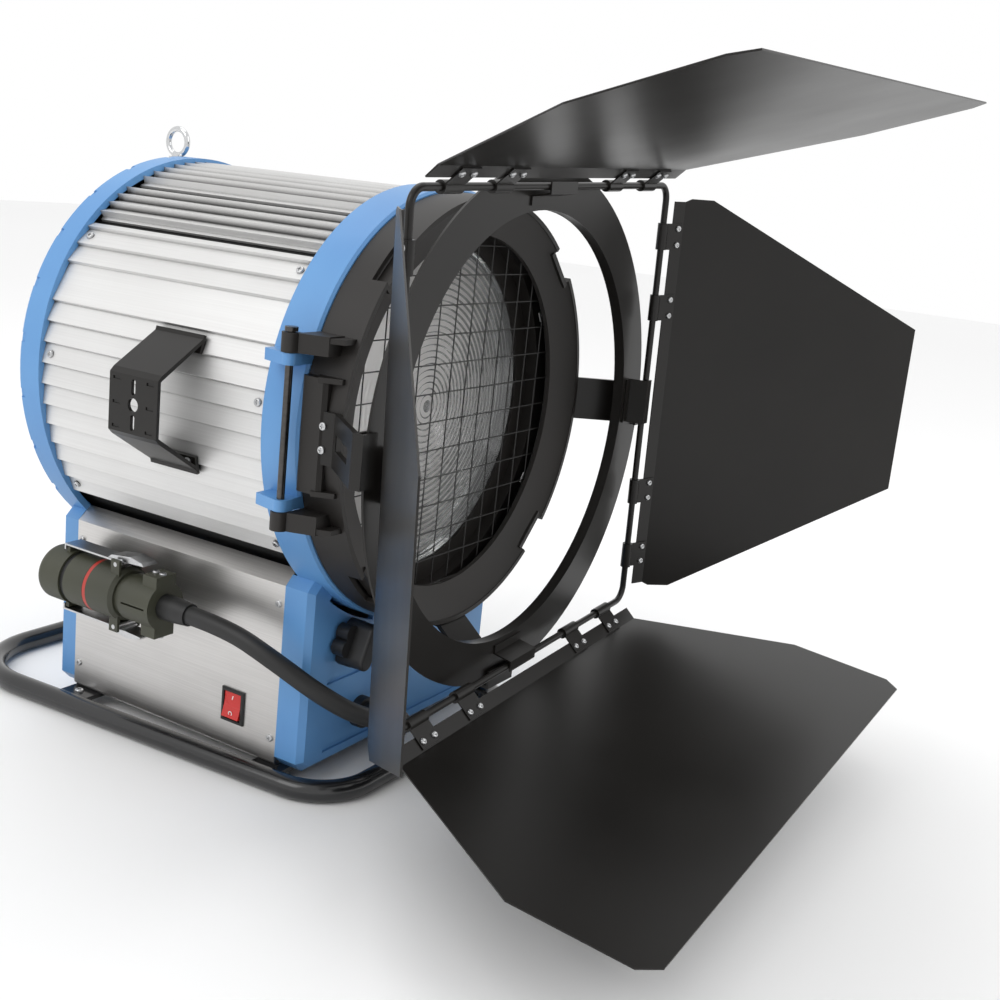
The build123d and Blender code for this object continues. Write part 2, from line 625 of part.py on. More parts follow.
def leaf(name, turn, angle, fold, outline):
    """One leaf with its four clips.  It is drawn for the right side, pointing straight ahead:
    s runs out from the rod along -Y, w runs along the rod.  The clips sit on the side to the light."""
    t = LEAF_T
    half = outline[0][0]
    run = FLANGE * cos(radians(fold))
    lift = FLANGE * sin(radians(fold))
    rim = [(half, run)] + outline[1:]
    full = [(-s, w) for w, s in rim] + [(-s, -w) for w, s in reversed(rim)]
    main = Pos(lift, 0, 0) * polygon_x(full, -t / 2, t / 2)
    flange = box(-t / 2, t / 2, -FLANGE - 0.3, -FLANGE_START, -half, half)
    plate = main + Rot(0, 0, fold) * flange
    clips = []
    screws = []
    face = -t / 2 - CLIP_T
    for w in CLIP_AT:
        wrap = cyl_z(ROD_R + 1.9, w - 12, w + 12, 0, 0)
        tab = box(face, -t / 2, -22.5, -2, w - 12, w + 12)
        clip = wrap + tab - cyl_z(ROD_R + FIT, w - 13, w + 13, 0, 0)
        for dw in (-7.5, 7.5):
            screw = Pos(face, -17, w + dw) * Rot(0, -90, 0) * pan_screw(2.6, head=1.6, shank=CLIP_T + t)
            screws.append(Rot(0, 0, fold) * screw)
            clip -= screw
        clips.append(Rot(0, 0, fold) * clip)
    for shape in screws:
        plate -= shape
    placed = []
    places = Pos(ROD_HALF, ROD_Y, 0) * Rot(0, 0, angle)
    for group in ([plate], clips, screws):
        placed.append([barn(Rot(0, -turn, 0) * places * shape) for shape in group])
    keep(name, *placed[0])
    keep(name + "_clips", *placed[1], *placed[2])


def leaves():
    wide = [(198, 0), (277.5, 161), (277, 255.5), (264, 269.6)]
    narrow = [(188, 0), (191, 28), (191, 49), (81.5, 270)]
    leaf("leaf_top", 90, TOP_ANGLE, TOP_FOLD, wide)
    leaf("leaf_bottom", 270, BOTTOM_ANGLE, BOTTOM_FOLD, wide)
    leaf("leaf_right", 0, RIGHT_ANGLE, SIDE_FOLD, narrow)
    leaf("leaf_left", 180, LEFT_ANGLE, SIDE_FOLD, narrow)


def focus_drive():
    y0 = BASE_FRONT_Y
    hub = cyl_y(13, y0 - 14, y0 - GAP, KNOB_X, KNOB_Z)
    wing = box(-8, 8, y0 - 30, y0 - 12, -20, 20)
    wing = fillet(wing.edges().filter_by(Axis.Y), 7.5)
    wing = fillet(wing.edges().group_by(Axis.Y)[0], 2.5)
    knob = hub + Pos(KNOB_X, 0, KNOB_Z) * Rot(0, 25, 0) * wing
    for i in range(3):
        lobe = Pos(KNOB_X, y0 - 8.5, KNOB_Z) * Rot(0, 25 + 60 * i, 0) * Pos(0, 0, 13) * Rot(90, 0, 0) * Cylinder(7.5, 12)
        knob += lobe
        lobe = Pos(KNOB_X, y0 - 8.5, KNOB_Z) * Rot(0, 205 + 60 * i, 0) * Pos(0, 0, 13) * Rot(90, 0, 0) * Cylinder(7.5, 12)
        knob += lobe
    knob -= cyl_y(5, y0 - 10, y0 + 2, KNOB_X, KNOB_Z)
    keep("focus_knob", knob)
    screw = cyl_y(5, y0 - 10, 118, KNOB_X, KNOB_Z)
    keep("focus_screw", screw)
    rails = []
    for x in (-RAIL_X, RAIL_X):
        rails.append(cyl_y(RAIL_R, -105, 119, x, RAIL_Z))
    keep("guide_rails", *rails)


def lamp_carriage():
    y = CARRIAGE_Y
    z = RAIL_Z
    plate = box(-75, 75, y - 35, y + 45, z + 9, z + 12)
    for x in (-RAIL_X, RAIL_X):
        for dy in (-25, 25):
            runner = box(x - 9, x + 9, y + dy - 7, y + dy + 7, z - 9, z + 9)
            plate += runner - cyl_y(RAIL_R + FIT, y + dy - 8, y + dy + 8, x, z)
    arm = box(-75, -71, y - 8, y + 8, KNOB_Z + 8, z + 12)
    nut = box(KNOB_X - 10, -71, y - 8, y + 8, KNOB_Z - 10, KNOB_Z + 10)
    nut -= cyl_y(5 + FIT, y - 10, y + 10, KNOB_X, KNOB_Z)
    stay_y = y + 56
    post = box(-8, 8, stay_y, stay_y + 3, z + 9, AXIS_Z - 30)
    foot = box(-8, 8, y + 40, stay_y + 3, z + 9, z + 12)
    keep("lamp_carriage", plate + arm + nut + post + foot)
    socket = box(-32, 32, y - 26, y + 26, z + 12, z + 40)
    socket = fillet(socket.edges().filter_by(Axis.Z), 6)
    for x in (-19, 19):
        socket -= cyl_z(5.6, z + 22, z + 42, x, y)
    keep("lamp_socket", socket)
    lamp = cyl_z(15, AXIS_Z - 38, AXIS_Z + 42, 0, y)
    lamp = fillet(lamp.edges().sort_by(Axis.Z)[-1], 12)
    lamp += box(-27, 27, y - 9, y + 9, z + 42, AXIS_Z - 38)
    for x in (-19, 19):
        lamp += cyl_z(5.5, z + 23, z + 43, x, y)
    keep("discharge_lamp", lamp)
    back = y + 62
    radius = 70
    shell = Pos(0, back - radius, AXIS_Z) * (Sphere(radius) - Sphere(radius - 1.5))
    shell -= box(-90, 90, back - 160, back - 30, AXIS_Z - 90, AXIS_Z + 90)
    keep("reflector", shell)
    seat(["lamp_carriage"], "reflector")


def interlock():
    y0 = FRONT_Y + 20.4
    body = box(-14, 14, y0, y0 + 16, AXIS_Z + 153, AXIS_Z + 163)
    body = fillet(body.edges().filter_by(Axis.Z), 2)
    plate = box(-14, 14, y0 + 16, y0 + 18, AXIS_Z + 153, AXIS_Z + 180)
    keep("door_interlock_switch", (body + plate) & cyl_y(172.8, y0 - 5, y0 + 30))


# ---------------------------------------------------------------- power switch
def power_switch():
    x = -BASE_W
    bezel = box(x - 2.2, x, SWITCH_Y - 12.5, SWITCH_Y + 12.5, SWITCH_Z - 15.3, SWITCH_Z + 15.3)
    bezel = chamfer(bezel.edges().group_by(Axis.X)[0], 0.8)
    housing = box(x, x + 24, SWITCH_Y - 10.6, SWITCH_Y + 10.6, SWITCH_Z - 13.6, SWITCH_Z + 13.6)
    well = box(x - 3, x + 9, SWITCH_Y - 9.6, SWITCH_Y + 9.6, SWITCH_Z - 12.6, SWITCH_Z + 12.6)
    body = bezel + housing - well
    pivot = x + 3
    body -= cyl_y(1 + FIT, SWITCH_Y - 10.4, SWITCH_Y + 10.4, pivot, SWITCH_Z)
    keep("switch_body", body)
    profile = [(-6, 11.2), (-5, 5), (-4.6, 0), (-5, -5), (-6, -11.2), (0.5, -10.4), (3.5, 0), (0.5, 10.4)]
    rocker = polygon_y(profile, -9.2, 9.2) + cyl_y(1, -10.3, 10.3, 0, 0)
    keep("switch_rocker", Pos(pivot, SWITCH_Y, SWITCH_Z) * Rot(0, ROCKER_TILT, 0) * rocker)


# ---------------------------------------------------------------- head cable and connector
def connector():
    x = PLUG_X
    z = PLUG_Z
    end = PLUG_REAR_Y
    cap = cyl_y(PLUG_R, end - 29, end, x, z)
    cap = fillet(cap.edges().group_by(Axis.Y)[-1], 7)
    lug_y = end - 24
    for side in (1, -1):
        cap += box(x - 8, x + 8, lug_y - 1, lug_y + 3, z + side * 20, z + side * 27.5)
    keep("connector_cap", cap)
    keep("cap_gasket", cyl_y(PLUG_R - 2, end - 34, end - 29, x, z))
    body = cyl_y(PLUG_R - 0.8, 20, end - 34, x, z)
    body = chamfer(body.edges().group_by(Axis.Y)[0], 3)
    body -= tube_y(PLUG_R + 1, PLUG_R - 2, 50, 54, x, z)
    body += cyl_y(PLUG_R - 6, 14, 20, x, z)
    pivot = 26
    rise = 28
    for side in (1, -1):
        for dx in (-13, 10.4):
            ear = box(x + dx, x + dx + 2.6, pivot - 5, pivot + 5, z + side * 17, z + side * (rise + 4))
            body += ear
        body -= cyl_x(2 + FIT, x - 14, x + 14, pivot, z + side * rise)
    keep("connector_body", body)
    keep("connector_id_ring", tube_y(PLUG_R - 0.9, PLUG_R - 1.95, 50.2, 53.8, x, z))
    clamp = cyl_y(PLUG_R - 4, -21, 13.9, x, z)
    for side in (1, -1):
        clamp += box(x - 11, x + 11, -21, -5, z + side * 15, z + side * 27)
    clamp -= cyl_y(CABLE_R + 3, -22, 15, x, z)
    clamp -= box(x - 40, x + 40, -17, 10, z - 0.8, z + 0.8)
    keep("cable_clamp_ring", clamp)
    for y in (-17, -9):
        for side in (1, -1):
            keep("cable_clamp_screws", Pos(x, y, z + side * 27) * Rot(90 - 90 * side, 0, 0) * pan_screw(3.2, shank=8))
    seat(["cable_clamp_ring"], "cable_clamp_screws")
    boot = cyl_y(CABLE_R + 3, -34, 13.8, x, z)
    boot += Pos(x, -42, z) * Rot(90, 0, 0) * Cone(CABLE_R + 3, CABLE_R + 1.6, 16)
    keep("cable_boot", boot - cyl_y(CABLE_R, PLUG_FRONT_Y - 1, -30, x, z))
    for side, name in ((1, "latch_upper"), (-1, "latch_lower")):
        plate = box(x - 9, x + 9, pivot - 6, lug_y + 5, 0.8, 2.4)
        hook = box(x - 9, x + 9, lug_y + 3.4, lug_y + 5, -3, 2.4)
        barrel = cyl_x(3.6, x - 9.6, x + 9.6, pivot, 0) + cyl_x(2, x - 13, x + 13, pivot, 0)
        grip = polygon_x([(pivot + 14, 2.4), (pivot + 10, 5.5), (14, 8.5), (0, 6), (-2, 3.6), (pivot - 6, 2.4)], x - 8, x + 8)
        lever = plate + hook + barrel + grip
        lever = Pos(0, 0, rise) * lever
        if side < 0:
            lever = mirror(lever, about=Plane.XY)
        keep(name, Pos(0, 0, z) * lever)


def head_cable():
    """Short tail lead: out of the elbow gland, round the front corner of the base, into the boot."""
    route = [(GLAND_X - 9, -189, 40.6), (-108, -187, 55), (-143, -170, 80), (-166, -136, 108),
             (PLUG_X, -92, PLUG_Z), (PLUG_X, PLUG_FRONT_Y + 4, PLUG_Z)]
    runs = [(Vector(*b) - Vector(*a)).length for a, b in zip(route, route[1:])]
    radii = []
    for i in range(1, len(route) - 1):
        before = Vector(*route[i]) - Vector(*route[i - 1])
        after = Vector(*route[i + 1]) - Vector(*route[i])
        half_turn = radians(before.get_angle(after)) / 2
        radii.append(0.45 * min(runs[i - 1], runs[i]) / tan(half_turn))
    path = FilletPolyline(*route, radius=radii)
    print("cable: runs", [round(v, 1) for v in runs], "radii", [round(v, 1) for v in radii],
          "length", round(path.length, 1), "in diameters", [round(v / (2 * CABLE_R), 1) for v in radii])
    profile = Plane(origin=path @ 0, z_dir=path % 0) * Circle(CABLE_R)
    tube = sweep(profile, path=path)
    print("cable volume ratio", round(tube.volume / (pi * CABLE_R ** 2 * path.length), 3))
    keep("head_cable", tube)
    y0 = BASE_FRONT_Y
    start = Vector(*route[0])
    along = (Vector(*route[1]) - start).normalized()
    nut = cyl_y(14, y0 - 8, y0, GLAND_X, GLAND_Z) + cyl_y(9.9, y0, y0 + 12, GLAND_X, GLAND_Z)
    neck = cyl_y(10.5, -198, y0 - 7, GLAND_X, GLAND_Z)
    elbow = Plane(origin=start - along * 10, z_dir=along) * Cylinder(11, 16)
    cap = Plane(origin=start - along * 5, z_dir=along) * Cylinder(13, 10)
    mouth = Plane(origin=start + along * 20, z_dir=along) * Cylinder(CABLE_R, 40)
    keep("cable_gland", nut + neck + elbow + cap - mouth)


front_ring()
rear_ring()
rear_cover()
body_panels()
inner_liner()
base_front()
base_rear()
base_covers()
base_inside()
skid()
side_brackets()
eye_bolt()
hinge_pin()
lens_door()
fresnel_lens()
wire_guard()
accessory_brackets()
barndoor_frame()
leaves()
focus_drive()
lamp_carriage()
interlock()
power_switch()
connector()
head_cable()

seat(["rear_cover", "rear_ring_casting", "side_panels", "base_cover_left", "base_cover_right", "side_brackets", "base_front_casting",
      "base_rear_casting", "skid_straps"], "body_screws")
seat(["lens_door_frame"], "accessory_brackets")
seat(["lens_door_frame", "accessory_brackets"], "accessory_bracket_screws")

for name, solids in SUBPARTS.items():
    export_step(solids[0] if len(solids) == 1 else Compound(children=solids), "parts/" + name + ".step")
print(len(SUBPARTS), "sub-parts written")
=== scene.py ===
# %% [markdown]
# # A studio fresnel spotlight, finished in Blender
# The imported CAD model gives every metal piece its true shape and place. This script gives the pieces
# their real finishes, and adds what the CAD leaves plain: the stepped lens, the screws of the
# barndoor, the flexible lead and the marks on the switch. All lengths are in metres.

# %% Load the frame
import bpy
from math import cos, pi, radians, sin
from mathutils import Matrix, Vector


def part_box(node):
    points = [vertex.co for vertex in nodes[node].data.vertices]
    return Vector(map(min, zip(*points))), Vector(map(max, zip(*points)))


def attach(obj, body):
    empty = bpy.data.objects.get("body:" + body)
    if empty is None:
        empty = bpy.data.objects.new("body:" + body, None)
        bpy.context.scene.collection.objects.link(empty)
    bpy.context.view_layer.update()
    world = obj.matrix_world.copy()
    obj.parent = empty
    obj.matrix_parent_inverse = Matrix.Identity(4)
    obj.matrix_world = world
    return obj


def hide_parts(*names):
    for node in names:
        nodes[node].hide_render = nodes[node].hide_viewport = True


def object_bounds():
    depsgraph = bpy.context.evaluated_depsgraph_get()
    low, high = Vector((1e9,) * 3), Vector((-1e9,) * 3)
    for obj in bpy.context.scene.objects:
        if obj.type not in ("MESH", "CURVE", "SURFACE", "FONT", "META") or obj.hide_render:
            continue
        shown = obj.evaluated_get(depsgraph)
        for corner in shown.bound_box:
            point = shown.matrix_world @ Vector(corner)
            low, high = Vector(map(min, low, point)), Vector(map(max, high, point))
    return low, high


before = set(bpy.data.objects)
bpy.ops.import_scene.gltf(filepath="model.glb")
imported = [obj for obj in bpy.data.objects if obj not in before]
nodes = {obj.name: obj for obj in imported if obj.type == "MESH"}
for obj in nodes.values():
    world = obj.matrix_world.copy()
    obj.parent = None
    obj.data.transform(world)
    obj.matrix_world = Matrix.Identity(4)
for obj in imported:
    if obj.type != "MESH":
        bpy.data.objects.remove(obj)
cad_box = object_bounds()

# %% [markdown]
# ## Colours and nodes
# Colours are picked as sRGB hex values, the way paint charts give them, but a renderer mixes light in
# linear numbers. One function converts them, and every material below goes through it. A second
# function adds a shader node with its settings and its links, so that each material reads as a list.

# %% Helpers for colours and nodes
MM = 0.001


def linear(hex_colour):
    parts = [int(hex_colour[i:i + 2], 16) / 255 for i in (1, 3, 5)]
    return [p / 12.92 if p <= 0.04045 else ((p + 0.055) / 1.055) ** 2.4 for p in parts] + [1.0]


def add(tree, kind, settings=None, links=None):
    """Add a node.  Settings go to its sockets where it has one of that name, else to its properties."""
    made = tree.nodes.new(kind)
    for key, value in (settings or {}).items():
        if isinstance(key, int) or key in made.inputs:
            made.inputs[key].default_value = value
        else:
            setattr(made, key, value)
    for key, source in (links or {}).items():
        tree.links.new(source, made.inputs[key])
    return made


def finish_named(name, **shader):
    material = bpy.data.materials.new(name)
    material.use_nodes = True
    tree = material.node_tree
    tree.nodes.clear()
    surface = add(tree, "ShaderNodeBsdfPrincipled", shader)
    add(tree, "ShaderNodeOutputMaterial", {}, {"Surface": surface.outputs["BSDF"]})
    return material, tree, surface


def two_tones(tree, factor, low, high):
    ramp = add(tree, "ShaderNodeValToRGB", {}, {"Fac": factor})
    ramp.color_ramp.elements[0].position = 0.3
    ramp.color_ramp.elements[0].color = linear(low)
    ramp.color_ramp.elements[1].position = 0.7
    ramp.color_ramp.elements[1].color = linear(high)
    return ramp.outputs["Color"]


print("white in linear numbers:", linear("#ffffff"))

# %% [markdown]
# ## Powder coat on the castings
# The rings and the ends of the base are die castings with a blue powder coat. Powder melts into a
# skin with a faint orange peel about 1.5 mm across, which breaks up highlights. A noise bump at that
# scale does it. The colour drifts very slightly, as thick and thin coats do.

# %% Blue powder coat
PEEL = 1.5 * MM


def powder_coat(name, low, high, roughness, peel, depth, coat=0.0, ior=1.5):
    """Paint or moulded skin: a peel-sized bump, and a slow drift of colour and gloss."""
    skin = {"Coat Weight": coat, "Coat Roughness": 0.25, "IOR": ior}
    material, tree, surface = finish_named(name, **skin)
    at = {"Vector": add(tree, "ShaderNodeTexCoord").outputs["Object"]}
    cloud = add(tree, "ShaderNodeTexNoise", {"Scale": 9.0, "Detail": 3.0}, at)
    grain = add(tree, "ShaderNodeTexNoise", {"Scale": 1 / peel, "Detail": 2.0}, at)
    dull = add(tree, "ShaderNodeMapRange", {"To Min": roughness - 0.05, "To Max": roughness + 0.07},
               {"Value": cloud.outputs["Fac"]})
    relief = add(tree, "ShaderNodeBump", {"Strength": 0.35, "Distance": depth},
                 {"Height": grain.outputs["Fac"]})
    tree.links.new(two_tones(tree, cloud.outputs["Fac"], low, high), surface.inputs["Base Color"])
    tree.links.new(dull.outputs["Result"], surface.inputs["Roughness"])
    tree.links.new(relief.outputs["Normal"], surface.inputs["Normal"])
    return material


blue_coat = powder_coat("blue powder coat on cast aluminium", "#5288c0", "#5f95ca", 0.42, PEEL,
                        0.06 * MM, 0.15)
print(blue_coat.name, "orange peel", PEEL / MM, "mm")

# %% [markdown]
# ## Black finishes
# The barndoor leaves are black powder-coated sheet, satin and slightly grainy. The lens door is a
# black casting with a coarser skin, and the skid is steel tube in gloss enamel, which runs smooth.
# The same recipe serves all three, with its own grain and gloss. The drum behind the panels is stove
# enamelled matt, so that it throws no light back.

# %% Black powder coat, casting, enamel and liner
satin_black = powder_coat("satin black powder coat on sheet", "#151311", "#1b1917", 0.30, 0.7 * MM,
                          0.03 * MM, ior=1.38)
cast_black = powder_coat("black powder coat on cast aluminium", "#1f1d1b", "#272422", 0.46, 1.2 * MM,
                         0.07 * MM, ior=1.42)
gloss_black = powder_coat("gloss black enamel on steel tube", "#121213", "#18181a", 0.17, 6 * MM,
                          0.05 * MM, 0.4)
matt_black = powder_coat("matt stove enamel on sheet", "#141414", "#1a1a1a", 0.75, 0.8 * MM,
                         0.02 * MM)
print("black finishes:", satin_black.name, cast_black.name, gloss_black.name, matt_black.name)

# %% [markdown]
# ## Aluminium
# The panels are extrusions, so the die leaves fine lines along their length, and clear anodising
# makes them pale and a little soft. The base covers are brushed sheet, with the brushing lengthwise
# too. Both are a noise squeezed thin across the grain and stretched along it. Real lines are 0.1 to
# 0.3 mm apart, too fine to show here, so they are drawn at about 1 mm. The grooves between the ribs,
# within 8 mm of an inner corner, are darkened with painted shade.

# %% Anodised extrusion and brushed sheet
LINE = 1.0 * MM


def lined_metal(name, low, high, roughness, spread, depth, line, along=0.25, metal=1.0, groove_shade_reach=0.0):
    """Metal with lines along Y, the given distance apart, and painted shade in the grooves where asked.
    """
    material, tree, surface = finish_named(name, Metallic=metal)
    at = {"Vector": add(tree, "ShaderNodeTexCoord").outputs["Object"]}
    squeeze = add(tree, "ShaderNodeMapping", {"Scale": (1 / line, 1 / along, 1 / line)}, at)
    lines = add(tree, "ShaderNodeTexNoise", {"Scale": 1.0, "Detail": 4.0, "Roughness": 0.6},
                {"Vector": squeeze.outputs["Vector"]})
    hands = add(tree, "ShaderNodeTexNoise", {"Scale": 14.0, "Detail": 3.0}, at)
    both = add(tree, "ShaderNodeMath", {"operation": "MULTIPLY_ADD", 1: 0.65, 2: 0.0},
               {0: lines.outputs["Fac"]})
    total = add(tree, "ShaderNodeMath", {"operation": "MULTIPLY_ADD", 1: 0.35},
                {0: hands.outputs["Fac"], 2: both.outputs["Value"]})
    gloss = {"To Min": roughness - spread, "To Max": roughness + spread}
    dull = add(tree, "ShaderNodeMapRange", gloss, {"Value": total.outputs["Value"]})
    relief = add(tree, "ShaderNodeBump", {"Strength": 0.3, "Distance": depth},
                 {"Height": lines.outputs["Fac"]})
    colour = two_tones(tree, total.outputs["Value"], low, high)
    # Painted shade: near an inner corner, ambient occlusion darkens the colour towards #2c2b2a, so the
    # grooves read as shaded.
    if groove_shade_reach:
        hollow = add(tree, "ShaderNodeAmbientOcclusion", {"samples": 8, "Distance": groove_shade_reach})
        unshaded_amount = add(tree, "ShaderNodeMapRange", {"From Min": 0.25, "From Max": 0.75},
                       {"Value": hollow.outputs["AO"]})
        groove_shade_mix = add(tree, "ShaderNodeMix", {"data_type": "RGBA", 6: linear("#2c2b2a")},
                     {0: unshaded_amount.outputs["Result"], 7: colour})
        colour = groove_shade_mix.outputs[2]
    tree.links.new(colour, surface.inputs["Base Color"])
    tree.links.new(dull.outputs["Result"], surface.inputs["Roughness"])
    tree.links.new(relief.outputs["Normal"], surface.inputs["Normal"])
    return material


# How far from an inner corner the painted groove shade reaches.
GROOVE_SHADE_REACH = 8 * MM
extrusion = lined_metal("clear anodised aluminium extrusion", "#d3d2d1", "#dededd", 0.42, 0.05,
                        0.02 * MM, LINE, metal=0.6, groove_shade_reach=GROOVE_SHADE_REACH)
brushed = lined_metal("brushed aluminium sheet", "#c2c0be", "#d8d6d4", 0.36, 0.08, 0.02 * MM,
                      0.8 * MM, 0.12)
print(extrusion.name, "and", brushed.name, "lines", LINE / MM, "mm")

# %% [markdown]
# ## Bright steel
# Screws and brackets inside are zinc plated, which is grey and faintly cloudy. The eye bolt is
# polished, so it is darker and sharper where it mirrors the room. The hinge pin is plain steel,
# darkened by oil, and the wire guard is enamelled black.

# %% Zinc plate, polished steel, mirror aluminium, guard wire
zinc = lined_metal("zinc plated steel", "#b4b5b6", "#cfd0d1", 0.30, 0.08, 0.01 * MM, 3 * MM, 0.003)
polished = lined_metal("polished stainless steel", "#c4c5c6", "#dadbdc", 0.12, 0.04, 0.004 * MM,
                       2 * MM, 0.002)
mirror = lined_metal("spun mirror aluminium", "#dfe0e1", "#eceded", 0.09, 0.03, 0.01 * MM,
                     1.5 * MM, 0.0015)
wire_metal = powder_coat("black enamelled wire", "#161514", "#1e1d1c", 0.35, 1.0 * MM, 0.02 * MM)
oiled = lined_metal("dark oiled steel", "#4a4847", "#5e5c5a", 0.32, 0.08, 0.01 * MM, 3 * MM, 0.003)
print("bright metals:", zinc.name, polished.name, mirror.name, wire_metal.name, oiled.name)

# %% [markdown]
# ## Plastics, rubber and ceramic
# Moulded ABS and nylon have a fine spark-eroded texture. The connector shell is glass-filled nylon
# in olive, rougher than the rocker, which is glossy polycarbonate. Neoprene jacket on the cable is
# dull with faint drawing marks. The lamp holder is steatite, an unglazed white ceramic.

# %% Moulded and fired materials
black_abs = powder_coat("black moulded ABS", "#151516", "#1b1b1c", 0.44, 0.6 * MM, 0.03 * MM)
red_plastic = powder_coat("red polycarbonate", "#c01f1a", "#cc2620", 0.28, 2.5 * MM, 0.01 * MM, 0.2)
olive_nylon = powder_coat("olive glass-filled nylon", "#34352a", "#3f4032", 0.50, 0.9 * MM,
                          0.05 * MM)
red_band = powder_coat("red marking lacquer", "#a8322a", "#b43b31", 0.40, 2 * MM, 0.02 * MM)
rubber = powder_coat("black neoprene rubber", "#161616", "#1e1e1e", 0.48, 1.1 * MM, 0.05 * MM)
steatite = powder_coat("white steatite ceramic", "#dedad0", "#e8e5dc", 0.60, 0.8 * MM, 0.03 * MM)
white_ink = powder_coat("white filled mark", "#e9e4e2", "#f4f1ef", 0.50, 0.8 * MM, 0.01 * MM)
print("moulded materials ready")

# %% [markdown]
# ## Glass
# The lens is pressed borosilicate, IOR 1.47, clear with a trace of green-grey. The lamp is quartz.
# Pressing leaves the faces a touch wavy, so a broad, shallow bump bends the reflections. A little of
# the light is scattered in the pressed lens, so it is not quite fully transparent. The frosted glass
# is for the lens's ring faces, which scatter much more.

# %% Borosilicate and quartz


def glass_named(name, hex_colour, roughness, wave, clear=1.0):
    pane = {"Base Color": linear(hex_colour), "Roughness": roughness, "IOR": 1.47,
            "Transmission Weight": clear}
    material, tree, surface = finish_named(name, **pane)
    at = {"Vector": add(tree, "ShaderNodeTexCoord").outputs["Object"]}
    ripple = add(tree, "ShaderNodeTexNoise", {"Scale": 1 / wave, "Detail": 1.0}, at)
    relief = add(tree, "ShaderNodeBump", {"Strength": 0.25, "Distance": 0.1 * MM},
                 {"Height": ripple.outputs["Fac"]})
    tree.links.new(relief.outputs["Normal"], surface.inputs["Normal"])
    return material


borosilicate = glass_named("pressed borosilicate glass", "#f1f3f3", 0.10, 40 * MM, 0.86)
frosted = glass_named("frosted borosilicate glass", "#e6e4e2", 0.35, 3 * MM, 0.45)
quartz = glass_named("quartz glass", "#f6f8f8", 0.02, 8 * MM)
print(borosilicate.name, frosted.name, quartz.name)

# %% [markdown]
# ## Finishes onto the CAD pieces
# A CAD piece keeps its mesh and takes a new material in its slot. The list goes by finish, so it is
# easy to see what is painted, what is plated and what is moulded.

# %% Assign the finishes
finishes = {
    blue_coat: ["front_ring_casting", "rear_ring_casting", "base_front_casting", "base_rear_casting"],
    extrusion: ["side_panels", "shoulder_panels", "top_panel"],
    brushed: ["base_cover_left", "base_cover_right"],
    satin_black: ["leaf_top", "leaf_bottom", "leaf_left", "leaf_right", "leaf_top_clips",
                  "leaf_bottom_clips",
                  "leaf_left_clips", "leaf_right_clips", "barndoor_ring", "hinge_rod_frame", "rod_clips",
                  "accessory_brackets", "rear_cover", "chassis_tray", "side_brackets"],
    cast_black: ["lens_door_frame", "igniter_box"],
    gloss_black: ["skid_frame", "skid_straps"],
    matt_black: ["inner_liner"],
    zinc: ["body_screws", "accessory_bracket_screws", "lens_clips", "base_floor_plate", "lamp_carriage",
           "cable_clamp_screws", "latch_upper", "latch_lower", "focus_screw"],
    oiled: ["hinge_pin"],
    wire_metal: ["wire_guard"],
    polished: ["eye_bolt", "guide_rails"],
    mirror: ["reflector"],
    borosilicate: ["fresnel_lens"],
    quartz: ["discharge_lamp"],
    steatite: ["lamp_socket", "terminal_block"],
    black_abs: ["focus_knob", "door_thumbscrew", "switch_body", "door_interlock_switch"],
    red_plastic: ["switch_rocker"],
    olive_nylon: ["connector_body", "connector_cap", "cable_clamp_ring"],
    red_band: ["connector_id_ring"],
    rubber: ["cap_gasket", "cable_boot", "head_cable", "cable_gland"],
}
for material, names in finishes.items():
    for name in names:
        for place in nodes[name].material_slots:
            place.material = material
finished = sum(len(names) for names in finishes.values())
print("finished", finished, "of", len(nodes), "CAD pieces")

# %% [markdown]
# ## Building pieces from points
# New pieces are made in mesh code. This helper turns vertices and faces into an object that rides
# on its CAD body and takes the given material in its slot.

# %% Helper for new pieces


def piece(name, points, faces, material, body, smooth=True):
    mesh = bpy.data.meshes.new(name)
    mesh.from_pydata([tuple(p) for p in points], [], faces)
    mesh.validate()
    mesh.materials.append(material)
    for face in mesh.polygons:
        face.use_smooth = smooth
    made = bpy.data.objects.new(name, mesh)
    bpy.context.scene.collection.objects.link(made)
    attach(made, body)
    return made


def turned(profile, steps, centre):
    """Points and faces of a profile of (radius, y) turned about an axis along Y."""
    points = []
    for i in range(steps):
        turn = 2 * pi * i / steps
        for r, y in profile:
            points.append((centre[0] + r * cos(turn), y, centre[1] + r * sin(turn)))
    n = len(profile)
    faces = []
    for i in range(steps):
        j = (i + 1) % steps
        for k in range(n):
            m = (k + 1) % n
            faces.append((i * n + k, i * n + m, j * n + m, j * n + k))
    return points, faces


print("helpers ready")

# %% [markdown]
# ## The stepped lens
# A fresnel lens is a thick convex lens cut into rings and collapsed flat. Each ring keeps its slope
# and drops back with a riser. The sloping faces are frosted, which evens out the beam and makes them
# pale, and the clear risers between them draw the dark circles seen from outside. The CAD lens has a
# dozen coarse rings. This one has 26, turned from one profile, and stands for it.

# %% Turn the lens
lens_low, lens_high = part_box("fresnel_lens")
AXIS = ((lens_low.x + lens_high.x) / 2, (lens_low.z + lens_high.z) / 2)
LENS_R = (lens_high.x - lens_low.x) / 2
RINGS = 26
RISER = 1.3 * MM
RIM = 6.5 * MM
RECESS = 0.6 * MM
FALL_AT_CENTRE = 0.3 * MM
FALL_ADDED_AT_RIM = 2.2 * MM
HOLE_R = 0.01 * MM
clear_r = LENS_R - RIM
front = lens_low.y + 0.3 * MM
back = lens_high.y
crest = front + RECESS
profile = [(HOLE_R, back), (HOLE_R, crest)]
for ring in range(RINGS):
    inner = clear_r * ring / RINGS
    outer = clear_r * (ring + 1) / RINGS
    fall = FALL_AT_CENTRE + FALL_ADDED_AT_RIM * (ring + 1) / RINGS
    if ring:
        profile.append((inner, crest))
    profile.append((outer - RISER, crest + fall))
